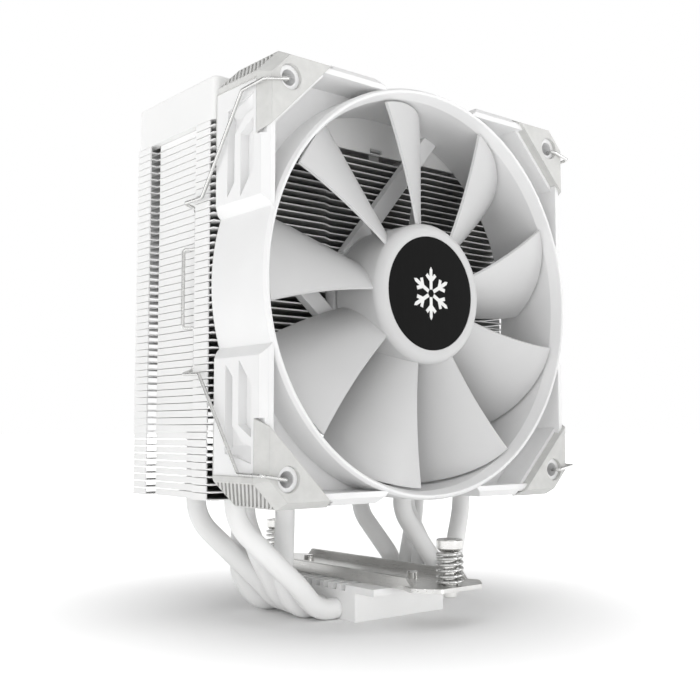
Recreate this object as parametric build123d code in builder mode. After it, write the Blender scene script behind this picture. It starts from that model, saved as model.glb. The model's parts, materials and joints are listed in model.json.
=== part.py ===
from build123d import *
from math import cos, radians, sin, sqrt, tan
import os

# Tower cooler: a block on heat pipes that rise through a stack of fins, with a fan clipped to the
# front of the stack. Millimetres. X is left to right seen from the fan side, Y goes from the fan
# to the back, Z is up. The origin is the centre of the block's contact face.

# ---- contact block and mounting bar ----
BLOCK_WIDTH = 35.4           # along X
BLOCK_DEPTH = 43.0           # along Y, lower part
BLOCK_LOWER = 8.2            # height of the lower part
PLATE_DEPTH = 59.0           # the upper plate overhangs the block front and back
PLATE_HEIGHT = 2.0
BLOCK_TOP = BLOCK_LOWER + PLATE_HEIGHT
GROOVE_COUNT = 9             # cooling grooves across the plate
GROOVE_PITCH = 4.0
GROOVE_WIDTH = 2.0
GROOVE_DEEP = 1.8

BAR_HALF = 11.5              # half width of the mounting bar
BAR_SHEET = 1.2              # its sheet thickness
BAR_FLANGE = 3.6             # height of the upturned long edges
FLANGE_END = 37.9            # half length of the edges, with 45 degree slopes at the ends
BAR_END = 46.8               # half length of the bar
BAR_TAB = ((11.5, 35.0), (13.8, 40.3), (8.0, BAR_END))   # outline of the widened ends
RIVET_Y = (-26.5, 23.6)
RIVET_HEAD = 1.6             # radii of the rivets
RIVET_SHANK = 1.0

# ---- spring screws, one at each end of the bar ----
SCREW_Y = 41.8
SCREW_HEAD = 3.75
SCREW_SHANK = 2.0
SCREW_BOTTOM = 8.0
SCREW_SEAT = 20.7            # underside of the head
SCREW_TOP = 24.1
THREAD_RADIUS = 1.25         # M3 tapped bore in the lower end
THREAD_LENGTH = 10.0
CLIP_GROOVE = (9.6, 10.15)   # the groove of the retaining ring, lowest and highest Z
SPRING_RADIUS = 3.5
SPRING_WIRE = 0.45           # wire radius
SPRING_TURNS = 5

# ---- heat pipes ----
PIPE_RADIUS = 3.0
PIPE_FIT = 0.05              # room for solder around a pipe
PIPE_TOP = 146.0
PIPE_FLAT = 1.6              # half width of the milled flat under each pipe
PIPE_FOOT_Y = (-12.6, -6.3, 0.0, 6.3, 12.6)
PIPE_ROUTES = (              # right-hand corners of each pipe, from the leg down to the block
    ((46.0, -1.9, 28.6), (30.5, -11.9, 10.0), (24.6, -12.6, 3.0)),
    ((24.0, 4.1, 27.5), (30.9, -4.4, 11.0), (27.5, -6.3, 3.0)),
    ((33.0, 12.1, 28.0), (33.0, 4.2, 17.0), (27.0, 0.0, 3.0)),
    ((45.5, 20.1, 28.3), (30.4, 8.8, 10.1), (24.4, 6.3, 3.0)),
    ((25.0, 26.8, 26.5), (31.4, 17.4, 11.0), (28.0, 12.6, 3.0)),
)
PIPE_BENDS = ((14, 12, 9), (12, 8, 6.5), (12, 9, 9), (14, 12, 9), (12, 8, 6.5))
PIPE_LEG = [route[0][:2] for route in PIPE_ROUTES]

# ---- fins and top cover ----
FIN_COUNT = 51
FIN_PITCH = 2.07
FIN_SHEET = 0.4
FIN_FIRST = 35.07            # underside of the lowest fin's middle
FIN_RAISE = 0.5              # the outer parts of a fin are raised by this
FIN_BEND = (18.5, 20.5)      # |X| where the raise starts and ends
FIN_HALF = 59.5
FIN_FRONT = -10.7
FIN_BACK = 33.7
SIDE_STEP = 2.0              # depth of the clip recess in the stack's sides
VENT_STEP = 2.6
BAND_FRONT = (-8.4, -0.9)    # Y ranges along a side: front band, recess, vent, back band
RECESS = (-0.9, 23.3)
VENT = (23.3, 25.8)
BAND_BACK = (25.8, 33.5)
FLANGE_HEIGHT = 1.9
COVER_BOTTOM = 141.05
COVER_TOP = 153.6
COVER_WALL = 1.0             # front and back walls
COVER_SIDE = 3.0             # side walls
COVER_SHEET = 1.2
LATCH_HALF = 2.55            # half width of the latch slot
LATCH_SLOT = (141.4, 142.9)

# ---- fan, 120 mm ----
FAN_Z = 94.6                 # height of the fan's axis
FAN_FRONT = -35.9            # its front face; depths below are measured back from here
FAN_HALF = 60.0
FAN_DEPTH = 25.0
DUCT_RADIUS = 57.4
LIP_DEPTH = -0.6             # the ring's crest stands in front of the walls
HOLE_SPACING = 105.0
HOLE_RADIUS = 2.15
BOSS_RADIUS = 3.4
WALL = 3.4                   # thickness of the frame's side walls
WALL_GAP = [(45, -17.5), (57, -17.5), (60.1, -20.9), (60.1, 20.9), (57, 17.5), (45, 17.5)]
POCKET_DEEP = 2.5            # pockets in the flat walls, outlines as (depth, height)
POCKET_FRONT = [(5.2, 41.8), (5.2, 28.5), (11.1, 21.7), (11.1, 38.6)]
POCKET_BACK = [(17.5, 22.5), (14.1, 26.0), (14.1, 38.9), (9.1, 43.2), (5.2, 44.0), (5.2, 48.5), (17.5, 46.0)]
WEB = (11.5, 14.5)           # depth of the web between ring and walls
SEAT_HALF = 58.8             # half size of the frame under a corner pad
SEAT_CUT = 111.6             # |X|+|Z| of its cut corner
PAD_HALF = 60.5
PAD_CUT = 114.0              # |X|+|Z| of a pad's outer corner facet
PAD_EDGE = 97.4              # |X|+|Z| of its inner diagonal edge
PAD_BEVEL = (2.0, 4.3)       # front bevel: inset and depth
PAD_REAR = (1.6, 3.1)        # rear bevel
WALL_BEVEL = 1.8             # bevels of the walls' outer edges
PAD_STRIP = 51.9             # |X| or |Z| where the strip along the corner starts
PAD_PLATE = 1.0              # the pads' front stands out by this, and the back plate is as thick
PAD_SEAT = 1.9               # depth of the corner blocks behind the pads' front plates
PAD_BACK = 2.0               # depth of the back plate on the sides
RIB_RANGE = (3.5, 21.9)      # slanted grooves across the outer facet, first and last depth
RIB_COUNT = 16
RIB_PITCH = 1.8
RIB_HALF = 4.5
RIB_WIDTH = 0.8
MOTOR_RADIUS = 20.7
MOTOR_BASE = (20.6, 24.6)
STRUT_WIDTH = 5.1
STRUT_OFFSET = 18.7          # how far a strut's centre line passes the fan axis
STRUT_ANGLE = 50.4
STRUT_DEPTH = (21.5, 24.6)

BLADE_COUNT = 9
BLADE_TIP = 56.7
BLADE_FIRST = 37.0           # angle of the first blade's tip, from the top towards +X
BLADE_SPAN = 28.0            # angle from a blade's leading to its trailing edge
BLADE_SWEEP = 6.5            # the root lags the tip by this angle
HUB_RADIUS = 20.8
HUB_DEPTH = (0.8, 19.2)
LABEL_RADIUS = 16.7
SHAFT_RADIUS = 1.5
SLEEVE_RADIUS = 3.5

# ---- wire clips ----
WIRE = 0.5                   # wire radius


def depth_plane(depth):
    """Plane across the fan at a depth behind its front face; X and Z are its axes."""
    return Plane(origin=(0, FAN_FRONT + depth, FAN_Z), x_dir=(1, 0, 0), z_dir=(0, -1, 0))


FAN_PROFILE = Plane(origin=(0, FAN_FRONT, FAN_Z), x_dir=(1, 0, 0), z_dir=(0, 0, 1))
FAN_AXIS = Axis((0, FAN_FRONT, FAN_Z), (0, 1, 0))


def turned(points, plane=FAN_PROFILE, axis=FAN_AXIS):
    """Solid of revolution of a closed outline of (radius, height along the axis) points."""
    with BuildPart() as solid:
        with BuildSketch(plane):
            with BuildLine():
                Polyline(*points, close=True)
            make_face()
        revolve(axis=axis)
    return solid.part


def save(part, name):
    part.label = name
    export_step(part, f"parts/{name}.step")


os.makedirs("parts", exist_ok=True)

# ---- contact block: grooved plate on a block with five pipe channels ----
with BuildPart() as base_block:
    with BuildSketch():
        Rectangle(BLOCK_WIDTH, BLOCK_DEPTH)
    extrude(amount=BLOCK_LOWER)
    fillet(base_block.edges().filter_by(Axis.Z), radius=0.5)
    with BuildSketch(Plane.XY.offset(BLOCK_LOWER)):
        Rectangle(BLOCK_WIDTH, PLATE_DEPTH)
    extrude(amount=PLATE_HEIGHT)
    with BuildSketch(Plane.YZ):
        with Locations((0, BLOCK_TOP)):
            with GridLocations(GROOVE_PITCH, 1, GROOVE_COUNT, 1):
                Rectangle(GROOVE_WIDTH, 2 * GROOVE_DEEP)
        with Locations(*[(y, PIPE_RADIUS) for y in PIPE_FOOT_Y]):
            Circle(PIPE_RADIUS + PIPE_FIT)
        with Locations(*[(y, 0) for y in PIPE_FOOT_Y]):
            Rectangle(2 * (PIPE_FLAT + PIPE_FIT), PIPE_RADIUS)
    extrude(amount=BLOCK_WIDTH, both=True, mode=Mode.SUBTRACT)
    with Locations(*[(0, y, BLOCK_TOP) for y in RIVET_Y]):
        Hole(RIVET_SHANK)
save(base_block.part, "base_block")


# ---- heat pipes: U shapes through the block, legs up through the fins ----
for number, (route, bends) in enumerate(zip(PIPE_ROUTES, PIPE_BENDS), start=1):
    leg_x, leg_y, _ = route[0]
    foot_y = route[-1][1]
    corners = [(leg_x, leg_y, PIPE_TOP), *route]
    mirrored = [(-x, y, z) for x, y, z in corners]
    with BuildPart() as heat_pipe:
        with BuildLine() as path:
            FilletPolyline(*mirrored, *reversed(corners), radius=[*bends, *reversed(bends)])
        with BuildSketch(Plane(origin=path.line @ 0, z_dir=path.line % 0)):
            Circle(PIPE_RADIUS)
        sweep()
        fillet(heat_pipe.edges().group_by(Axis.Z)[-1], radius=2.0)
        with Locations((0, foot_y, 0)):
            Box(BLOCK_WIDTH, 2 * PIPE_FLAT, 1.0, align=(Align.CENTER, Align.CENTER, Align.MIN))
    save(heat_pipe.part, f"heat_pipe_{number}")


# ---- fins: folded sheets, side flanges reach up to the next fin ----
def fin(tongues=False):
    """One fin at the bottom of the stack. The top fin carries two latch tongues."""
    low = FIN_FIRST
    high = FIN_FIRST + FIN_RAISE
    rise, flat = FIN_BEND
    lower = [(-FIN_HALF, high), (-flat, high), (-rise, low), (rise, low), (flat, high), (FIN_HALF, high)]
    upper = [(x, z + FIN_SHEET) for x, z in reversed(lower)]
    half = [
        (FIN_HALF, FIN_FRONT),
        (FIN_HALF, BAND_FRONT[1]),
        (FIN_HALF - SIDE_STEP, BAND_FRONT[1]),
        (FIN_HALF - SIDE_STEP, VENT[0]),
        (FIN_HALF - VENT_STEP, VENT[0]),
        (FIN_HALF - VENT_STEP, VENT[1]),
        (FIN_HALF, VENT[1]),
        (FIN_HALF, FIN_BACK),
    ]
    walls = [
        (FIN_HALF, BAND_FRONT[0], BAND_FRONT[1]),
        (FIN_HALF - SIDE_STEP, RECESS[0], RECESS[1]),
        (FIN_HALF, BAND_BACK[0], BAND_BACK[1]),
    ]
    with BuildPart() as sheet:
        with BuildSketch(Plane.XZ.offset(-FIN_BACK)):
            with BuildLine():
                Polyline(*lower, *upper, close=True)
            make_face()
        extrude(amount=FIN_BACK - FIN_FRONT)
        with BuildSketch(Plane.XY.offset(low)):
            with BuildLine():
                Polyline(*half, *[(-x, y) for x, y in reversed(half)], close=True)
            make_face()
            with Locations(*[(side * x, y) for x, y in PIPE_LEG for side in (-1, 1)]):
                Circle(PIPE_RADIUS + PIPE_FIT, mode=Mode.SUBTRACT)
        extrude(amount=FIN_PITCH, mode=Mode.INTERSECT)
        with BuildSketch(Plane.XY.offset(high)):
            for outer, start, end in walls:
                for side in (-1, 1):
                    with Locations((side * (outer - FIN_SHEET / 2), (start + end) / 2)):
                        Rectangle(FIN_SHEET, end - start)
            step = SIDE_STEP + FIN_SHEET
            for side in (-1, 1):
                with Locations((side * (FIN_HALF - step / 2), BAND_FRONT[1] - FIN_SHEET / 2)):
                    Rectangle(step, FIN_SHEET)
        extrude(amount=FLANGE_HEIGHT)
        if tongues:
            for end, inward in ((FIN_FRONT, 1), (FIN_BACK, -1)):
                inner = end + inward * (COVER_WALL + 0.1)
                with Locations((0, inner + inward * FIN_SHEET / 2, low)):
                    Box(2 * LATCH_HALF - 1, FIN_SHEET, 4.2, align=(Align.CENTER, Align.CENTER, Align.MIN))
                with Locations((0, inner - inward * 0.35, low + 3.6)):
                    Box(2 * LATCH_HALF - 1, 0.8, 0.7, align=(Align.CENTER, Align.CENTER, Align.MIN))
    return sheet.part


plain_fin = fin()
with BuildPart() as fin_stack:
    with Locations(*[(0, 0, index * FIN_PITCH) for index in range(FIN_COUNT - 1)]):
        add(plain_fin)
save(fin_stack.part, "fin_stack")

with BuildPart() as top_fin:
    with Locations((0, 0, (FIN_COUNT - 1) * FIN_PITCH)):
        add(fin(tongues=True))
save(top_fin.part, "top_fin")

# ---- top cover: a cap over the pipe ends, with a latch slot front and back ----
FIN_DEPTH = FIN_BACK - FIN_FRONT
FIN_MIDDLE = (FIN_BACK + FIN_FRONT) / 2
with BuildPart() as top_cover:
    with BuildSketch(Plane.XY.offset(COVER_BOTTOM)):
        with Locations((0, FIN_MIDDLE)):
            RectangleRounded(2 * FIN_HALF, FIN_DEPTH, 1.8)
    extrude(amount=COVER_TOP - COVER_BOTTOM)
    fillet(top_cover.faces().sort_by(Axis.Z)[-1].edges(), radius=0.7)
    with BuildSketch(Plane.XY.offset(COVER_BOTTOM)):
        with Locations((0, FIN_MIDDLE)):
            RectangleRounded(2 * (FIN_HALF - COVER_SIDE), FIN_DEPTH - 2 * COVER_WALL, 0.8)
    extrude(amount=COVER_TOP - COVER_BOTTOM - COVER_SHEET, mode=Mode.SUBTRACT)
    with BuildSketch(Plane.XZ):
        with Locations((0, (LATCH_SLOT[0] + LATCH_SLOT[1]) / 2)):
            Rectangle(2 * LATCH_HALF, LATCH_SLOT[1] - LATCH_SLOT[0])
    extrude(amount=BLOCK_DEPTH, both=True, mode=Mode.SUBTRACT)
save(top_cover.part, "top_cover")

# ---- mounting bar: flat channel along Y with widened ends ----
bar_high = BLOCK_TOP + BAR_SHEET
flange_top = BLOCK_TOP + BAR_FLANGE
flange_slope = flange_top - bar_high
flange_profile = [
    (FLANGE_END, bar_high), (FLANGE_END - flange_slope, flange_top), (flange_slope - FLANGE_END, flange_top),
    (-FLANGE_END, bar_high), (-FLANGE_END, BLOCK_TOP), (FLANGE_END, BLOCK_TOP),
]
with BuildPart() as mounting_bar:
    with BuildSketch(Plane.XY.offset(BLOCK_TOP)):
        with BuildLine():
            right_edge = [*[(x, -y) for x, y in reversed(BAR_TAB)], *BAR_TAB]
            left_edge = [(-x, y) for x, y in reversed(right_edge)]
            FilletPolyline(*right_edge, *left_edge, radius=2.0, close=True)
        make_face()
    extrude(amount=BAR_SHEET)
    for plane_x in (BAR_HALF - BAR_SHEET, -BAR_HALF):
        with BuildSketch(Plane.YZ.offset(plane_x)):
            with BuildLine():
                Polyline(*flange_profile, close=True)
            make_face()
        extrude(amount=BAR_SHEET)
    fillet(mounting_bar.edges().filter_by(Axis.Y).group_by(Axis.Z)[-1], radius=0.35)
    with Locations(*[(0, y, bar_high) for y in RIVET_Y]):
        Hole(RIVET_SHANK)
    with Locations((0, SCREW_Y, bar_high), (0, -SCREW_Y, bar_high)):
        Hole(SCREW_SHANK + 0.3)
save(mounting_bar.part, "mounting_bar")

rivet_profile = [
    (0, BLOCK_LOWER - 0.8), (RIVET_HEAD - 0.2, BLOCK_LOWER - 0.8), (RIVET_HEAD - 0.2, BLOCK_LOWER),
    (RIVET_SHANK, BLOCK_LOWER), (RIVET_SHANK, bar_high), (RIVET_HEAD, bar_high),
    (RIVET_HEAD, bar_high + 1.9), (RIVET_HEAD - 0.3, bar_high + 2.2), (0, bar_high + 2.2),
]
rivet = turned(rivet_profile, Plane.XZ, Axis.Z)
with BuildPart() as bar_rivets:
    with Locations(*[(0, y, 0) for y in RIVET_Y]):
        add(rivet)
save(bar_rivets.part, "bar_rivets")


# ---- spring screws with their springs and retaining rings ----
def spring_screw(y):
    ring_low, ring_high = CLIP_GROOVE
    neck = SCREW_SHANK - 0.4
    outline = [
        (THREAD_RADIUS, SCREW_BOTTOM), (SCREW_SHANK - 0.2, SCREW_BOTTOM), (SCREW_SHANK, SCREW_BOTTOM + 0.2),
        (SCREW_SHANK, ring_low), (neck, ring_low), (neck, ring_high), (SCREW_SHANK, ring_high),
        (SCREW_SHANK, SCREW_SEAT), (SCREW_HEAD - 0.9, SCREW_SEAT), (SCREW_HEAD, SCREW_SEAT + 0.9),
        (SCREW_HEAD, SCREW_TOP - 0.3), (SCREW_HEAD - 0.3, SCREW_TOP), (0, SCREW_TOP),
        (0, SCREW_BOTTOM + THREAD_LENGTH), (THREAD_RADIUS, SCREW_BOTTOM + THREAD_LENGTH),
    ]
    blank = turned(outline, Plane.XZ, Axis.Z)
    with BuildPart() as screw:
        with Locations((0, y, 0)):
            add(blank)
        with BuildSketch(Plane.XY.offset(SCREW_TOP)):
            with Locations((0, y)):
                Rectangle(5.0, 0.9)
                Rectangle(0.9, 5.0)
        extrude(amount=-1.6, mode=Mode.SUBTRACT)
    return screw.part


def screw_spring(y):
    bottom = bar_high + SPRING_WIRE + 0.03
    height = SCREW_SEAT - SPRING_WIRE - 0.03 - bottom
    with BuildPart() as spring:
        with BuildLine(Plane.XY.offset(bottom)) as coil:
            Helix(pitch=height / SPRING_TURNS, height=height, radius=SPRING_RADIUS)
        with BuildSketch(Plane(origin=coil.line @ 0, z_dir=coil.line % 0)):
            Circle(SPRING_WIRE)
        sweep(is_frenet=True)
    with BuildPart() as placed:
        with Locations((0, y, 0)):
            add(spring.part)
    return placed.part


def retaining_ring(y):
    ring_low, ring_high = CLIP_GROOVE
    with BuildPart() as ring:
        with BuildSketch(Plane.XY.offset(ring_low + 0.03)):
            with Locations((0, y)):
                Circle(3.4)
                Circle(SCREW_SHANK - 0.4 + 0.06, mode=Mode.SUBTRACT)
                with Locations((3.0, 0)):
                    Rectangle(6.0, 2.4, mode=Mode.SUBTRACT)
        extrude(amount=ring_high - ring_low - 0.06)
    return ring.part


for place, y in (("front", -SCREW_Y), ("back", SCREW_Y)):
    save(spring_screw(y), f"spring_screw_{place}")
    save(screw_spring(y), f"screw_spring_{place}")
    save(retaining_ring(y), f"retaining_ring_{place}")


# ---- fan frame ----
def corner(half, cut, inner):
    """Corner outline in the +X +Z quarter: outer half size, cut corner and inner diagonal."""
    return [(half, inner - half), (half, cut - half), (cut - half, half), (inner - half, half)]


# The ring's profile, with a rounded lip in front.
with BuildPart() as ring:
    with BuildSketch(FAN_PROFILE):
        with BuildLine():
            Polyline((DUCT_RADIUS, FAN_DEPTH), (DUCT_RADIUS, 3.2), (58.5, -0.3))
            ThreePointArc((58.5, -0.3), (59.0, LIP_DEPTH), (59.5, -0.3))
            Polyline((59.5, -0.3), (FAN_HALF, 0.6), (FAN_HALF, FAN_DEPTH), (DUCT_RADIUS, FAN_DEPTH))
        make_face()
    revolve(axis=FAN_AXIS)

# Pockets in one wall: outlines cut straight in, the floor ramps out towards the corner.
with BuildPart() as pockets:
    with BuildSketch(Plane(origin=(FAN_HALF + 0.1, FAN_FRONT, FAN_Z), x_dir=(0, 1, 0), z_dir=(1, 0, 0))):
        for outline in (POCKET_FRONT, POCKET_BACK):
            Polygon(*outline, align=None)
            Polygon(*[(depth, -height) for depth, height in outline], align=None)
    extrude(amount=-POCKET_DEEP - 0.1)
    with BuildSketch(depth_plane(0)):
        floor = FAN_HALF - POCKET_DEEP
        Polygon((floor, 0), (floor, 44.0), (FAN_HALF + 0.1, 49.5), (FAN_HALF + 0.1, -49.5), (floor, -44.0),
                align=None)
    extrude(amount=-FAN_DEPTH, mode=Mode.INTERSECT)

quarter_turns = [
    Location((0, 0, FAN_Z)) * Location((0, 0, 0), (0, 90 * index, 0)) * Location((0, 0, -FAN_Z))
    for index in range(4)
]
strut_end = sqrt((FAN_HALF - 1) ** 2 - STRUT_OFFSET ** 2)
with BuildPart() as fan_frame:
    # side walls, flat only away from the middle of each side
    with BuildSketch(depth_plane(0)):
        Rectangle(2 * FAN_HALF, 2 * FAN_HALF)
        Rectangle(2 * (FAN_HALF - WALL), 2 * (FAN_HALF - WALL), mode=Mode.SUBTRACT)
        with PolarLocations(0, 4):
            Polygon(*WALL_GAP, align=None, mode=Mode.SUBTRACT)
    extrude(amount=-FAN_DEPTH)
    # outer front and rear edges of the walls
    wall_faces = fan_frame.faces().sort_by(Axis.Y)
    end_edges = wall_faces[:4].edges() + wall_faces[-4:].edges()
    outer_edges = end_edges.filter_by(lambda e: max(abs(e.center().X), abs(e.center().Z - FAN_Z)) > 59.9)
    chamfer(outer_edges, length=WALL_BEVEL)
    # web between ring and walls
    with BuildSketch(depth_plane(WEB[0])):
        Rectangle(2 * FAN_HALF - 1, 2 * FAN_HALF - 1)
        Circle(DUCT_RADIUS + 1, mode=Mode.SUBTRACT)
        with PolarLocations(0, 4):
            Polygon(*WALL_GAP, align=None, mode=Mode.SUBTRACT)
    extrude(amount=-(WEB[1] - WEB[0]))
    # corner blocks
    with BuildSketch(depth_plane(PAD_SEAT)):
        with PolarLocations(0, 4):
            Polygon(*corner(SEAT_HALF, SEAT_CUT, PAD_EDGE - 1.6), align=None)
    extrude(amount=-(FAN_DEPTH - PAD_SEAT))
    add(ring.part)
    # seats of the corner pads
    with BuildSketch(depth_plane(LIP_DEPTH)):
        with PolarLocations(0, 4):
            Polygon((PAD_HALF, PAD_STRIP), (PAD_HALF, PAD_HALF), (PAD_STRIP, PAD_HALF),
                    (PAD_STRIP, SEAT_HALF), (SEAT_CUT - SEAT_HALF, SEAT_HALF),
                    (SEAT_HALF, SEAT_CUT - SEAT_HALF), (SEAT_HALF, PAD_STRIP), align=None)
    extrude(amount=-(FAN_DEPTH - LIP_DEPTH), mode=Mode.SUBTRACT)
    for start, end in ((LIP_DEPTH, PAD_BEVEL[1] - PAD_PLATE), (FAN_DEPTH - PAD_BACK, FAN_DEPTH)):
        with BuildSketch(depth_plane(start)):
            with PolarLocations(0, 4):
                Polygon((PAD_HALF, PAD_EDGE - PAD_HALF), (PAD_HALF, PAD_STRIP), (SEAT_HALF, PAD_STRIP),
                        (SEAT_HALF, PAD_EDGE - PAD_HALF), align=None)
                Polygon((PAD_EDGE - PAD_HALF, PAD_HALF), (PAD_STRIP, PAD_HALF), (PAD_STRIP, SEAT_HALF),
                        (PAD_EDGE - PAD_HALF, SEAT_HALF), align=None)
        extrude(amount=-(end - start), mode=Mode.SUBTRACT)
    for start, end in ((LIP_DEPTH, PAD_SEAT), (FAN_DEPTH - PAD_PLATE + 0.2, FAN_DEPTH + 0.2)):
        with BuildSketch(depth_plane(start)):
            with PolarLocations(0, 4):
                Polygon(*corner(PAD_HALF, PAD_CUT, PAD_EDGE), align=None)
        extrude(amount=-(end - start), mode=Mode.SUBTRACT)
    with Locations(*quarter_turns):
        add(pockets.part, mode=Mode.SUBTRACT)
    # bosses round the screw holes
    with BuildSketch(depth_plane(0)):
        with GridLocations(HOLE_SPACING, HOLE_SPACING, 2, 2):
            Circle(BOSS_RADIUS)
    extrude(amount=-FAN_DEPTH)
    # struts, motor base and bearing tube
    with BuildSketch(depth_plane(STRUT_DEPTH[0])):
        with PolarLocations(0, 4, start_angle=STRUT_ANGLE):
            with Locations((strut_end / 2, STRUT_OFFSET)):
                Rectangle(strut_end, STRUT_WIDTH)
    extrude(amount=-(STRUT_DEPTH[1] - STRUT_DEPTH[0]))
    with BuildSketch(depth_plane(MOTOR_BASE[0])):
        Circle(MOTOR_RADIUS)
    extrude(amount=-(MOTOR_BASE[1] - MOTOR_BASE[0]))
    with BuildSketch(depth_plane(7.5)):
        Circle(SLEEVE_RADIUS + 1)
    extrude(amount=-(MOTOR_BASE[1] - 7.5))
    with BuildSketch(depth_plane(7.5)):
        Circle(SLEEVE_RADIUS)
    extrude(amount=-(23.2 - 7.5), mode=Mode.SUBTRACT)
    with BuildSketch(depth_plane(0)):
        with GridLocations(HOLE_SPACING, HOLE_SPACING, 2, 2):
            Circle(HOLE_RADIUS)
    extrude(amount=-FAN_DEPTH, mode=Mode.SUBTRACT)
save(fan_frame.part, "fan_frame")


# ---- corner pads: soft corners with a front plate, a back plate and a ribbed facet ----
def corner_pad(right, up):
    def place(points):
        return [(right * x, up * z) for x, z in points]

    def inset(amount):
        return place(corner(PAD_HALF - amount, PAD_CUT - amount * sqrt(2), PAD_EDGE))

    core = [(0, 0), (SEAT_HALF, 0), (SEAT_HALF, SEAT_CUT - SEAT_HALF), (SEAT_CUT - SEAT_HALF, SEAT_HALF),
            (0, SEAT_HALF)]
    bevel = PAD_BEVEL[1] - PAD_PLATE
    back = FAN_DEPTH + 0.2
    outlines = ((-PAD_PLATE, PAD_BEVEL[0]), (bevel, 0), (back - PAD_REAR[1], 0), (back, PAD_REAR[0]))
    with BuildPart() as pad:
        for depth, amount in outlines:
            with BuildSketch(depth_plane(depth)):
                Polygon(*inset(amount), align=None)
        loft(ruled=True)
        with BuildSketch(depth_plane(PAD_SEAT)):
            Polygon(*place(core), align=None)
        extrude(amount=-(back - PAD_PLATE - PAD_SEAT), mode=Mode.SUBTRACT)
        with BuildSketch(depth_plane(bevel)):
            Polygon(*place([(0, 0), (70, 0), (70, PAD_STRIP), (SEAT_HALF - 1, PAD_STRIP)]), align=None)
            Polygon(*place([(0, 0), (0, 70), (PAD_STRIP, 70), (PAD_STRIP, SEAT_HALF - 1)]), align=None)
        extrude(amount=-(FAN_DEPTH - PAD_BACK - bevel), mode=Mode.SUBTRACT)
        with BuildSketch(depth_plane(-PAD_PLATE)):
            with Locations((right * HOLE_SPACING / 2, up * HOLE_SPACING / 2)):
                Circle(BOSS_RADIUS + 0.05)
        extrude(amount=-(back + PAD_PLATE), mode=Mode.SUBTRACT)
        facet = PAD_CUT / 2
        middle = (right * facet, FAN_FRONT + sum(RIB_RANGE) / 2, FAN_Z + up * facet)
        slant = RIB_HALF * right * up
        with BuildSketch(Plane(origin=middle, x_dir=(0, 1, 0), z_dir=(right, 0, up))):
            with GridLocations(RIB_PITCH, 1, RIB_COUNT, 1):
                Polygon((-slant, -RIB_HALF), (RIB_WIDTH - slant, -RIB_HALF),
                        (RIB_WIDTH + slant, RIB_HALF), (slant, RIB_HALF), align=None)
            Rectangle(RIB_RANGE[1] - RIB_RANGE[0], 2 * RIB_HALF, mode=Mode.INTERSECT)
        extrude(amount=-0.6, mode=Mode.SUBTRACT)
    return pad.part


for side, right in (("left", -1), ("right", 1)):
    for level, up in (("top", 1), ("bottom", -1)):
        save(corner_pad(right, up), f"corner_pad_{level}_{side}")


# ---- impeller: cup-shaped hub with swept blades ----
def blade_angles(radius):
    """Leading and trailing edge angles at a radius, for a blade whose tip points up."""
    lag = BLADE_SWEEP * (BLADE_TIP - radius) / (BLADE_TIP - HUB_RADIUS)
    return radians(lag - BLADE_SPAN / 2), radians(lag + BLADE_SPAN / 2)


def blade_section(height):
    """Cambered section in the plane at a height above the axis: corners and arc middles."""
    lead, trail = blade_angles(height)
    start = Vector(height * tan(lead), 2.9 - 0.7 * (height - 20) / 37)
    end = Vector(height * tan(trail), 17.8)
    chord = end - start
    bulge = Vector(chord.Y, -chord.X).normalized()
    middle = (start + end) * 0.5 + bulge * 0.09 * chord.length
    return start, middle, end, bulge


with BuildPart() as blade:
    for height in (17.0, 38.0, 62.0):
        start, middle, end, bulge = blade_section(height)
        plane = Plane(origin=(0, FAN_FRONT, FAN_Z + height), x_dir=(1, 0, 0), z_dir=(0, 0, 1))
        with BuildSketch(plane):
            with BuildLine():
                ThreePointArc(start + bulge * 0.4, middle + bulge * 0.9, end + bulge * 0.3)
                Line(end + bulge * 0.3, end - bulge * 0.3)
                ThreePointArc(end - bulge * 0.3, middle - bulge * 0.9, start - bulge * 0.4)
                Line(start - bulge * 0.4, start + bulge * 0.4)
            make_face()
    loft()
    with BuildSketch(depth_plane(0)):
        Circle(BLADE_TIP)
        Circle(HUB_RADIUS - 0.6, mode=Mode.SUBTRACT)
    extrude(amount=-FAN_DEPTH, mode=Mode.INTERSECT)

hub_front, hub_back = HUB_DEPTH
with BuildPart() as impeller:
    with BuildSketch(FAN_PROFILE):
        with BuildLine():
            Polyline((0, 1.3), (LABEL_RADIUS + 0.1, 1.3), (LABEL_RADIUS + 0.1, hub_front), (18.4, hub_front))
            ThreePointArc((18.4, hub_front), (20.1, 1.5), (HUB_RADIUS, 3.2))
            Polyline((HUB_RADIUS, 3.2), (HUB_RADIUS, hub_back), (19.6, hub_back), (19.6, 2.9), (2.6, 2.9),
                     (2.6, 7.0), (SHAFT_RADIUS, 7.0), (SHAFT_RADIUS, 2.2), (0, 2.2), (0, 1.3))
        make_face()
    revolve(axis=FAN_AXIS)
    turns = [
        Location((0, 0, FAN_Z)) * Location((0, 0, 0), (0, BLADE_FIRST + 360 / BLADE_COUNT * index, 0))
        * Location((0, 0, -FAN_Z)) for index in range(BLADE_COUNT)
    ]
    with Locations(*turns):
        add(blade.part)
save(impeller.part, "impeller")

save(turned([(0, 0.9), (LABEL_RADIUS, 0.9), (LABEL_RADIUS, 1.3), (0, 1.3)]), "hub_label")

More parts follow.
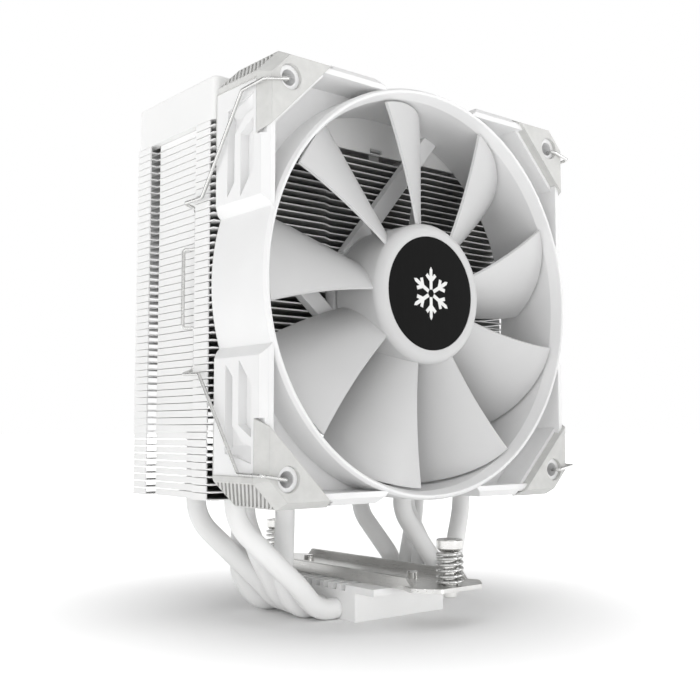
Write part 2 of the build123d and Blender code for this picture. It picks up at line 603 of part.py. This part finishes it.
# ---- motor, all turned about the fan axis unless shaped below ----
save(turned([(2.6, 2.9), (19.6, 2.9), (19.6, 18.4), (18.8, 18.4), (18.8, 3.7), (2.6, 3.7)]), "rotor_yoke")
save(turned([(16.9, 5.0), (18.8, 5.0), (18.8, 17.8), (16.9, 17.8)]), "rotor_magnet")
groove = (20.2, 20.7)
save(turned([(0, 2.2), (SHAFT_RADIUS, 2.2), (SHAFT_RADIUS, groove[0]), (1.1, groove[0]), (1.1, groove[1]),
             (SHAFT_RADIUS, groove[1]), (SHAFT_RADIUS, 21.1), (1.2, 21.4), (0, 21.4)]), "rotor_shaft")
save(turned([(1.1, groove[0] + 0.05), (2.6, groove[0] + 0.05), (2.6, groove[1] - 0.05),
             (1.1, groove[1] - 0.05)]), "shaft_lock_ring")
save(turned([(SHAFT_RADIUS + 0.04, 8.0), (SLEEVE_RADIUS, 8.0), (SLEEVE_RADIUS, 19.8),
             (SHAFT_RADIUS + 0.04, 19.8)]), "bearing_sleeve")
save(turned([(0, 21.5), (SLEEVE_RADIUS, 21.5), (SLEEVE_RADIUS, 22.6), (0, 22.6)]), "thrust_disc")
save(turned([(0, MOTOR_BASE[1]), (19.5, MOTOR_BASE[1]), (19.5, MOTOR_BASE[1] + 0.15),
             (0, MOTOR_BASE[1] + 0.15)]), "motor_label")

POLE_ARM = 3.0
POLE_DEPTH = (9.0, 15.5)
with BuildPart() as stator_core:
    with BuildSketch(depth_plane(POLE_DEPTH[0])):
        Circle(15.6)
        Circle(13.6, mode=Mode.SUBTRACT)
        with PolarLocations(0, 4, start_angle=45):
            with Locations((14.5, 0)):
                Rectangle(6.0, 4.0, mode=Mode.SUBTRACT)
        Circle(6.6)
        Rectangle(28.0, POLE_ARM)
        Rectangle(POLE_ARM, 28.0)
        Circle(SLEEVE_RADIUS + 1, mode=Mode.SUBTRACT)
    extrude(amount=-(POLE_DEPTH[1] - POLE_DEPTH[0]))
save(stator_core.part, "stator_core")

with BuildPart() as stator_coils:
    with BuildSketch(depth_plane(POLE_DEPTH[0] - 1.5)):
        with PolarLocations(0, 4):
            with Locations((10.4, 0)):
                RectangleRounded(5.4, POLE_ARM + 3.6, 0.8)
    extrude(amount=-(POLE_DEPTH[1] - POLE_DEPTH[0] + 3.0))
    with BuildSketch(depth_plane(POLE_DEPTH[0])):
        Rectangle(30.0, POLE_ARM)
        Rectangle(POLE_ARM, 30.0)
    extrude(amount=-(POLE_DEPTH[1] - POLE_DEPTH[0]), mode=Mode.SUBTRACT)
save(stator_coils.part, "stator_coils")

with BuildPart() as motor_board:
    with BuildSketch(depth_plane(18.6)):
        Circle(16.4)
        Circle(SLEEVE_RADIUS + 1, mode=Mode.SUBTRACT)
    extrude(amount=-1.2)
    with BuildSketch(depth_plane(18.0)):
        with Locations((9.5, -6.0)):
            Rectangle(4.0, 2.6)
    extrude(amount=-0.6)
save(motor_board.part, "motor_board")


# ---- wire clips: hooked into the fan's holes and snapped behind the stack's front bands ----
def wire_clip(right):
    """Wire through points of (|X|, depth, height above the fan axis), from top to bottom."""
    upper = [
        (53.6, 0.8, 51.5), (53.6, -2.0, 51.5), (61.3, -1.8, 49.9), (61.4, 8.7, 49.4), (61.4, 28.3, 24.2),
    ]
    lower = [
        (53.6, 0.8, -52.6), (53.6, -2.0, -52.6), (61.3, -1.8, -51.3), (61.4, 9.0, -51.2), (61.4, 28.9, -24.6),
    ]
    hook = [
        (61.4, 37.8, 24.3), (58.3, 37.3, 23.2), (58.3, 36.15, 21.6), (58.3, 36.15, 11.2), (60.7, 39.0, 11.2),
    ]
    radii = [1.0, 1.2, 1.2, 1.2, 1.1, 0.9, 0.9, 0.9, 0.9]
    points = upper + hook + [(x, depth, -height) for x, depth, height in reversed(hook)] + lower[::-1]
    with BuildPart() as clip:
        with BuildLine() as path:
            FilletPolyline(*[(right * x, FAN_FRONT + depth, FAN_Z + height) for x, depth, height in points],
                           radius=[*radii, *reversed(radii)])
        with BuildSketch(Plane(origin=path.line @ 0, z_dir=path.line % 0)):
            Circle(WIRE)
        sweep()
    return clip.part


save(wire_clip(-1), "wire_clip_left")
save(wire_clip(1), "wire_clip_right")
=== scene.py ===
import json
from math import cos, pi, radians, sin

import bmesh
import bpy
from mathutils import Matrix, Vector


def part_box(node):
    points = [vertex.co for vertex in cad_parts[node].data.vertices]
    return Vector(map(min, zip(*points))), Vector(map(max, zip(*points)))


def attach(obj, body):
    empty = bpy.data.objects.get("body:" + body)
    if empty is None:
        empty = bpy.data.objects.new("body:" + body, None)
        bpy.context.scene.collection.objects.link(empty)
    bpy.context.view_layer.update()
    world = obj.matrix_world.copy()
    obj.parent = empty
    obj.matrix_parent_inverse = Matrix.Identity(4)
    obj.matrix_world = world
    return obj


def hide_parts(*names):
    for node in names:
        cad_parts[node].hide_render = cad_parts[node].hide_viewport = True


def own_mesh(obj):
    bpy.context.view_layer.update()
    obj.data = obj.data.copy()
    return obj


# Looks of the tower cooler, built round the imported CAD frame. Metres, in the same frame:
# X to the right seen from the fan side, Y from the fan to the back of the fins, Z up.

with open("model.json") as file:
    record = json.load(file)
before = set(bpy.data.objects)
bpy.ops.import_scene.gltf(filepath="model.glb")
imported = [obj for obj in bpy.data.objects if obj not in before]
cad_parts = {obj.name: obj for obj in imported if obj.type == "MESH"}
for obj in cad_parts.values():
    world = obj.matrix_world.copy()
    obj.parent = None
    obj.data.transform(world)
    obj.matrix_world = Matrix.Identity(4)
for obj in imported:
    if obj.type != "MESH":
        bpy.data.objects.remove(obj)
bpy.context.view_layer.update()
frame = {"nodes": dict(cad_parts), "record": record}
nodes = frame["nodes"]
MM = 0.001

FAN_CENTRE = Vector((0, -35.9, 94.6)) * MM      # centre of the fan's front face
LABEL_DEPTH = 0.9 * MM                          # the hub label's front face, behind the fan's


# ---- node helpers ----
class Shader:
    """A material with a Principled shader and short calls for the usual nodes."""

    def __init__(self, name, color, roughness, metallic=0.0):
        self.material = bpy.data.materials.new(name)
        self.material.use_nodes = True
        self.tree = self.material.node_tree
        self.bsdf = self.tree.nodes["Principled BSDF"]
        self.bsdf.inputs["Base Color"].default_value = (*color, 1)
        self.bsdf.inputs["Roughness"].default_value = roughness
        self.bsdf.inputs["Metallic"].default_value = metallic
        self.color = color
        self.coords = self.node("ShaderNodeTexCoord").outputs["Object"]

    def node(self, kind, **inputs):
        made = self.tree.nodes.new(kind)
        for key, value in inputs.items():
            self.put(made.inputs[key.replace("_", " ")], value)
        return made

    def put(self, socket, value):
        if isinstance(value, bpy.types.NodeSocket):
            self.tree.links.new(value, socket)
        else:
            socket.default_value = value

    def noise(self, scale, detail=2.0, roughness=0.5, distortion=0.0, stretch=None):
        coords = self.coords
        if stretch:
            mapping = self.node("ShaderNodeMapping", Vector=coords)
            mapping.inputs["Scale"].default_value = stretch
            coords = mapping.outputs["Vector"]
        made = self.node("ShaderNodeTexNoise", Vector=coords, Scale=scale, Detail=detail,
                         Roughness=roughness, Distortion=distortion)
        return made.outputs["Fac"]

    def remap(self, value, low, high, start=0.0, end=1.0):
        made = self.node("ShaderNodeMapRange", Value=value)
        made.inputs["From Min"].default_value = start
        made.inputs["From Max"].default_value = end
        made.inputs["To Min"].default_value = low
        made.inputs["To Max"].default_value = high
        return made.outputs["Result"]

    def math(self, operation, *values):
        made = self.node("ShaderNodeMath")
        made.operation = operation
        for socket, value in zip(made.inputs, values):
            self.put(socket, value)
        return made.outputs["Value"]

    def tint(self, fac, low, high):
        """Colour between two plain shades."""
        return self.blend(fac, (*low, 1), high)

    def blend(self, fac, color, high):
        """From a colour, or another node's colour, to a plain shade."""
        made = self.node("ShaderNodeMix")
        made.data_type = "RGBA"
        self.put(made.inputs[0], fac)
        self.put(made.inputs[6], color)
        made.inputs[7].default_value = (*high, 1)
        return made.outputs[2]

    def bump(self, height, strength, distance, normal=None):
        made = self.node("ShaderNodeBump", Height=height, Strength=strength, Distance=distance)
        if normal:
            self.put(made.inputs["Normal"], normal)
        return made.outputs["Normal"]

    def rounded(self, radius):
        made = self.node("ShaderNodeBevel", Radius=radius)
        made.samples = 4
        return made.outputs["Normal"]

    def edges(self, radius):
        """1 on sharp edges, 0 on flats."""
        bevel = self.node("ShaderNodeBevel", Radius=radius)
        bevel.samples = 4
        geometry = self.node("ShaderNodeNewGeometry")
        dot = self.node("ShaderNodeVectorMath")
        dot.operation = "DOT_PRODUCT"
        self.put(dot.inputs[0], bevel.outputs["Normal"])
        self.put(dot.inputs[1], geometry.outputs["Normal"])
        return self.remap(dot.outputs["Value"], 1.0, 0.0, 0.75, 0.985)

    def set(self, socket, value):
        self.put(self.bsdf.inputs[socket], value)


def shade(color, factor):
    return tuple(channel * factor for channel in color)


# ---- materials ----
def powder_coat(name, color, roughness=0.5):
    """Sprayed and baked coat: fine orange peel, soft cloudiness, a painted highlight that lightens the
    edges slightly.
    """
    m = Shader(name, color, roughness)
    cloud = m.noise(38, detail=3)
    peel = m.noise(1500, detail=2, roughness=0.45)
    grain = m.noise(6200, detail=1)
    base = m.tint(m.remap(cloud, 0, 1, 0.3, 0.7), shade(color, 0.965), color)
    # painted highlight: sharp edges are painted a little lighter than the coat
    m.set("Base Color", m.blend(m.remap(m.edges(0.35 * MM), 0, 0.5), base, shade(color, 1.05)))
    m.set("Roughness", m.remap(peel, roughness - 0.06, roughness + 0.1, 0.3, 0.7))
    normal = m.bump(grain, 0.12, 0.05 * MM, m.rounded(0.25 * MM))
    m.set("Normal", m.bump(peel, 0.10, 0.12 * MM, normal))
    m.set("Specular IOR Level", 0.42)
    return m.material


def fin_coat_painted_shade(name, color, half_width, front, back):
    """Powder coat on folded sheet: full colour on the outer edges and flanges, painted shade on the
    faces between them.
    """
    m = Shader(name, color, 0.5)
    peel = m.noise(1500, detail=2, roughness=0.45)
    cloud = m.noise(60, detail=3)
    axes = m.node("ShaderNodeSeparateXYZ", Vector=m.coords)
    side = m.math("ABSOLUTE", axes.outputs["X"])
    from_side = m.remap(side, 0, 1, half_width - 3.2 * MM, half_width - 2.6 * MM)
    from_front = m.remap(axes.outputs["Y"], 1, 0, front, front + 0.5 * MM)
    from_back = m.remap(axes.outputs["Y"], 0, 1, back - 0.5 * MM, back)
    unshaded_edges = m.math("MAXIMUM", m.math("MAXIMUM", from_side, from_front), from_back)
    # painted shade: between the outer edges the fin faces are painted down to under half the coat's
    # colour, for the shade in the gaps
    painted_gap_shade = m.tint(m.remap(cloud, 0, 1, 0.3, 0.7), shade(color, 0.40), shade(color, 0.46))
    m.set("Base Color", m.blend(unshaded_edges, painted_gap_shade, color))
    m.set("Roughness", m.remap(peel, 0.44, 0.6, 0.3, 0.7))
    m.set("Normal", m.bump(peel, 0.10, 0.12 * MM, m.rounded(0.12 * MM)))
    m.set("Specular IOR Level", 0.4)
    return m.material


def moulded(name, color, roughness, radius=0.3, grain=4200):
    """Injection-moulded plastic: fine spark-eroded grain, faint flow clouding."""
    m = Shader(name, color, roughness)
    cloud = m.noise(55, detail=2, distortion=0.6)
    fine = m.noise(grain, detail=2, roughness=0.6)
    m.set("Base Color", m.tint(m.remap(cloud, 0, 1, 0.3, 0.7), shade(color, 0.97), color))
    m.set("Roughness", m.remap(fine, roughness - 0.05, roughness + 0.08, 0.3, 0.7))
    m.set("Normal", m.bump(fine, 0.10, 0.04 * MM, m.rounded(radius * MM)))
    m.set("Specular IOR Level", 0.45)
    return m.material


def soft_rubber(name, color):
    """Soft-touch silicone: dusty, matte, slightly mottled."""
    m = Shader(name, color, 0.72)
    dust = m.noise(240, detail=4, roughness=0.6)
    fine = m.noise(3600, detail=2, roughness=0.65)
    m.set("Base Color", m.tint(m.remap(dust, 0, 1, 0.3, 0.7), shade(color, 0.93), shade(color, 1.05)))
    m.set("Roughness", m.remap(fine, 0.62, 0.82, 0.3, 0.7))
    m.set("Normal", m.bump(fine, 0.22, 0.06 * MM, m.rounded(0.35 * MM)))
    m.set("Sheen Weight", 0.15)
    m.set("Specular IOR Level", 0.35)
    return m.material


def sheet_steel(name, color, along="Y"):
    """Rolled, nickel-plated sheet: long fine brush lines, a few dull patches and a painted highlight
    along the edges.
    """
    m = Shader(name, color, 0.32, metallic=1.0)
    stretch = {"Y": (1, 0.02, 1), "X": (0.02, 1, 1), "Z": (1, 1, 0.02)}[along]
    lines = m.noise(5200, detail=3, roughness=0.6, stretch=stretch)
    patch = m.noise(90, detail=4)
    base = m.tint(m.remap(patch, 0, 1, 0.35, 0.7), shade(color, 0.88), color)
    # painted highlight: sharp edges are painted lighter than the plate
    m.set("Base Color", m.blend(m.remap(m.edges(0.3 * MM), 0, 0.7), base, shade(color, 1.25)))
    m.set("Roughness", m.remap(lines, 0.22, 0.42, 0.3, 0.7))
    m.set("Normal", m.bump(lines, 0.12, 0.02 * MM, m.rounded(0.2 * MM)))
    return m.material


def plated(name, color, roughness=0.16):
    """Bright nickel plate over turned steel: fine rings, slight haze."""
    m = Shader(name, color, roughness, metallic=1.0)
    haze = m.noise(420, detail=4)
    rings = m.noise(4200, detail=2, stretch=(0.06, 0.06, 1))
    m.set("Base Color", m.tint(m.remap(haze, 0, 1, 0.3, 0.7), shade(color, 0.9), color))
    m.set("Roughness", m.remap(haze, roughness - 0.05, roughness + 0.12, 0.3, 0.7))
    m.set("Normal", m.bump(rings, 0.08, 0.02 * MM, m.rounded(0.12 * MM)))
    return m.material


def gloss_film(name, color):
    """Printed satin film: black, hairline scuffs, a weak shine."""
    m = Shader(name, color, 0.4)
    scuff = m.noise(900, detail=5, roughness=0.7, stretch=(1, 1, 0.12))
    m.set("Base Color", m.tint(m.remap(scuff, 0, 1, 0.45, 0.8), color, shade(color, 1.6)))
    m.set("Roughness", m.remap(scuff, 0.34, 0.5, 0.3, 0.8))
    m.set("Normal", m.bump(scuff, 0.02, 0.02 * MM))
    m.set("Specular IOR Level", 0.06)
    return m.material


WHITE = (0.86, 0.86, 0.855)
looks = {
    "coated_metal": powder_coat("coated_metal", (0.90, 0.90, 0.895), 0.5),
    "fin_coat_painted_shade": fin_coat_painted_shade("fin_coat_painted_shade", WHITE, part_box("fin_stack")[1][0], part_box("fin_stack")[0][1],
                         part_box("fin_stack")[1][1]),
    "cover_coat": powder_coat("cover_coat", (0.87, 0.87, 0.865), 0.46),
    "bar_steel": sheet_steel("bar_steel", (0.74, 0.735, 0.72)),
    "bright_steel": plated("bright_steel", (0.74, 0.735, 0.72)),
    "spring_wire": plated("spring_wire", (0.70, 0.70, 0.69), 0.22),
    "frame_plastic": moulded("frame_plastic", (0.85, 0.85, 0.85), 0.46),
    # painted shade: the blades' white plastic is set far darker than the frame's, for the shade inside
    # the fan
    "blade_plastic": moulded("blade_plastic", (0.60, 0.60, 0.60), 0.36, radius=0.2, grain=5200),
    "pad_rubber": soft_rubber("pad_rubber", (0.62, 0.62, 0.605)),
    "label_gloss": gloss_film("label_gloss", (0.004, 0.004, 0.004)),
    "motor_steel": sheet_steel("motor_steel", (0.5, 0.5, 0.5), along="Z"),
    "magnet": soft_rubber("magnet", (0.07, 0.065, 0.06)),
    "copper": plated("copper", (0.72, 0.36, 0.20), 0.3),
    "board": moulded("board", (0.05, 0.16, 0.09), 0.4),
    "bronze": plated("bronze", (0.55, 0.42, 0.26), 0.35),
    "sticker": moulded("sticker", (0.82, 0.82, 0.81), 0.5),
}
for entry in frame["record"]["subparts"]:
    node = nodes[entry["node"]]
    # the fin stack and the top fin take the coat with painted shade between the fins
    folded = entry["node"] in ("fin_stack", "top_fin")
    node.data.materials.clear()
    node.data.materials.append(looks["fin_coat_painted_shade" if folded else entry["material_slot"]])


# ---- pieces in mesh code ----
def new_piece(name, bm, slot, body):
    mesh = bpy.data.meshes.new(name)
    bmesh.ops.recalc_face_normals(bm, faces=bm.faces)
    bm.to_mesh(mesh)
    bm.free()
    piece = bpy.data.objects.new(name, mesh)
    bpy.context.scene.collection.objects.link(piece)
    mesh.materials.append(looks[slot])
    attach(piece, body)
    return piece


SPRING_WIRE = 0.45 * MM                         # wire radius
SPRING_RADIUS = 3.5 * MM                        # centre line of the coil
ACTIVE_TURNS = 4.2
CLOSED_TURNS = 0.8                              # at each end
CLOSED_RISE = 0.98                              # rise of an end turn, in wire thicknesses
STEPS_PER_TURN = 36
WIRE_SIDES = 12


def coil_spring(name, node, y):
    """Compression spring with closed end turns: the pitch eases to one wire thickness at both ends."""
    low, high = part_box(node)
    wire = SPRING_WIRE
    radius = SPRING_RADIUS
    bottom = low[2] + wire
    height = high[2] - low[2] - 2 * wire
    active, closed = ACTIVE_TURNS, CLOSED_TURNS
    turns = active + 2 * closed
    end_rise = closed * 2 * wire * CLOSED_RISE
    pitch = (height - 2 * end_rise) / active
    steps = round(turns * STEPS_PER_TURN)
    sides = WIRE_SIDES
    bm = bmesh.new()
    rings = []
    for step in range(steps + 1):
        turn = step / STEPS_PER_TURN
        if turn < closed:
            rise = turn * end_rise / closed
        elif turn > turns - closed:
            rise = height - (turns - turn) * end_rise / closed
        else:
            rise = end_rise + (turn - closed) * pitch
        angle = 2 * pi * turn
        outward = Vector((cos(angle), sin(angle), 0))
        centre = Vector((0, y, bottom + rise)) + outward * radius
        ends = min(step, steps - step)
        thin = 1.0 if ends > 1 else 0.8 + 0.1 * ends
        ring = []
        for side in range(sides):
            around = 2 * pi * side / sides
            offset = outward * cos(around) + Vector((0, 0, sin(around)))
            ring.append(bm.verts.new(centre + offset * wire * thin))
        rings.append(ring)
    for before, after in zip(rings, rings[1:]):
        for side in range(sides):
            following = (side + 1) % sides
            bm.faces.new((before[side], before[following], after[following], after[side]))
    bm.faces.new(rings[0])
    bm.faces.new(rings[-1])
    for face in bm.faces:
        face.smooth = len(face.verts) == 4
    piece = new_piece(name, bm, "spring_wire", "cooler")
    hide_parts(node)
    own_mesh(piece)


SCREW_Y = 41.8 * MM
coil_spring("coil_front", "screw_spring_front", -SCREW_Y)
coil_spring("coil_back", "screw_spring_back", SCREW_Y)


# One side of an arm, in mm along and across it, from the middle of the star to the tip.
STAR_ARM = [(1.1, 0.58), (3.5, 0.58), (5.1, 2.2), (5.9, 1.4), (5.05, 0.58), (7.0, 0.58), (7.9, 0.0)]
STAR_PROUD = 0.05 * MM
STAR_THICK = 0.06 * MM


def frost_mark():
    """Plain six-armed frost star, a hair proud of the hub label."""
    outline = STAR_ARM + [(along, -across) for along, across in reversed(STAR_ARM[:-1])]
    front = FAN_CENTRE + Vector((0, LABEL_DEPTH - STAR_PROUD, 0))
    bm = bmesh.new()
    for index in range(6):
        angle = radians(60 * index + 30)
        along = Vector((cos(angle), 0, sin(angle)))
        across = Vector((-sin(angle), 0, cos(angle)))
        near = [bm.verts.new(front + (along * u + across * v) * MM) for u, v in outline]
        far = [bm.verts.new(vert.co + Vector((0, STAR_THICK, 0))) for vert in near]
        bm.faces.new(near)
        bm.faces.new(far[::-1])
        for place in range(len(near)):
            following = (place + 1) % len(near)
            bm.faces.new((near[place], near[following], far[following], far[place]))
    new_piece("hub_mark", bm, "sticker", "rotor")


frost_mark()

# ---- camera ----
CAMERA_PLACE = Vector((-202.9, -243.1, 54.5)) * MM
CAMERA_YAW = radians(39.59)
CAMERA_PITCH = radians(4.63)
camera = bpy.data.objects.new("camera", bpy.data.cameras.new("camera"))
bpy.context.scene.collection.objects.link(camera)
camera.location = CAMERA_PLACE
camera.rotation_euler = (pi / 2 + CAMERA_PITCH, 0, -CAMERA_YAW)
camera.data.lens = 51.25
camera.data.sensor_width = 36.0
camera.data.clip_start = 0.01
camera.data.clip_end = 50
bpy.context.scene.camera = camera


# ---- floor, light and background ----
def area_light(name, place, target, size, power):
    light = bpy.data.objects.new(name, bpy.data.lights.new(name, "AREA"))
    bpy.context.scene.collection.objects.link(light)
    light.location = place
    light.rotation_euler = (Vector(target) - Vector(place)).to_track_quat("-Z", "Y").to_euler()
    light.data.shape = "RECTANGLE"
    light.data.size, light.data.size_y = size
    light.data.energy = power


AIM = (0, 0, 0.08)                              # middle of the cooler
area_light("light_top", (-0.15, -0.25, 1.3), AIM, (1.6, 1.6), 4.8)
area_light("light_left", (-1.25, -0.1, 0.55), AIM, (1.0, 1.2), 2.4)
area_light("light_right", (1.1, -0.9, 0.5), AIM, (0.8, 1.1), 4.2)
area_light("light_back", (0.4, 1.4, 0.6), AIM, (1.4, 1.0), 3.0)
area_light("light_front", (-0.5, -1.4, 0.35), AIM, (1.2, 0.9), 2.2)


def low_spot(name, place, target, cone, power):
    """Narrow fill near the floor, for the pipes and the block."""
    light = bpy.data.objects.new(name, bpy.data.lights.new(name, "SPOT"))
    bpy.context.scene.collection.objects.link(light)
    light.location = place
    light.rotation_euler = (Vector(target) - Vector(place)).to_track_quat("-Z", "Y").to_euler()
    light.data.energy = power
    light.data.spot_size = radians(cone)
    light.data.spot_blend = 1.0
    light.data.shadow_soft_size = 0.04


# place, target, cone in degrees, power
low_spot("light_low_front", (0.05, -0.62, 0.045), (0, -0.03, 0.010), 9, 5.0)
low_spot("light_low_left", (-0.55, -0.38, 0.06), (-0.02, 0, 0.018), 9, 2.5)

floor_mesh = bpy.data.meshes.new("floor")
floor_bm = bmesh.new()
bmesh.ops.create_grid(floor_bm, x_segments=8, y_segments=8, size=12.0)
floor_bm.to_mesh(floor_mesh)
floor_bm.free()
floor = bpy.data.objects.new("floor", floor_mesh)
bpy.context.scene.collection.objects.link(floor)
floor_look = Shader("floor", (0.95, 0.95, 0.95), 0.85)
far_out = floor_look.node("ShaderNodeVectorMath", Vector=floor_look.coords)
far_out.operation = "LENGTH"
floor_look.set("Emission Color", (1, 1, 1, 1))
# The paper glows from a little way out, so that only the contact shadow stays grey.
near_glow = floor_look.remap(far_out.outputs["Value"], 0, 0.5, 0.04, 0.11)
far_glow = floor_look.remap(far_out.outputs["Value"], 0, 0.9, 0.2, 0.7)
floor_look.set("Emission Strength", floor_look.math("ADD", near_glow, far_glow))
floor.data.materials.append(floor_look.material)

WORLD_LIGHT = 0.38                              # how strongly the studio's walls light the object
world = bpy.data.worlds.new("world")
world.use_nodes = True
sky = world.node_tree
walls = sky.nodes["Background"]
walls.inputs["Color"].default_value = (1, 1, 1, 1)
walls.inputs["Strength"].default_value = WORLD_LIGHT
backdrop = sky.nodes.new("ShaderNodeBackground")
backdrop.inputs["Color"].default_value = (1, 1, 1, 1)
backdrop.inputs["Strength"].default_value = 1.0
ray = sky.nodes.new("ShaderNodeLightPath")
chosen = sky.nodes.new("ShaderNodeMixShader")
sky.links.new(ray.outputs["Is Camera Ray"], chosen.inputs["Fac"])
sky.links.new(walls.outputs["Background"], chosen.inputs[1])
sky.links.new(backdrop.outputs["Background"], chosen.inputs[2])
sky.links.new(chosen.outputs["Shader"], sky.nodes["World Output"].inputs["Surface"])
bpy.context.scene.world = world
bpy.context.scene.view_settings.view_transform = "Standard"
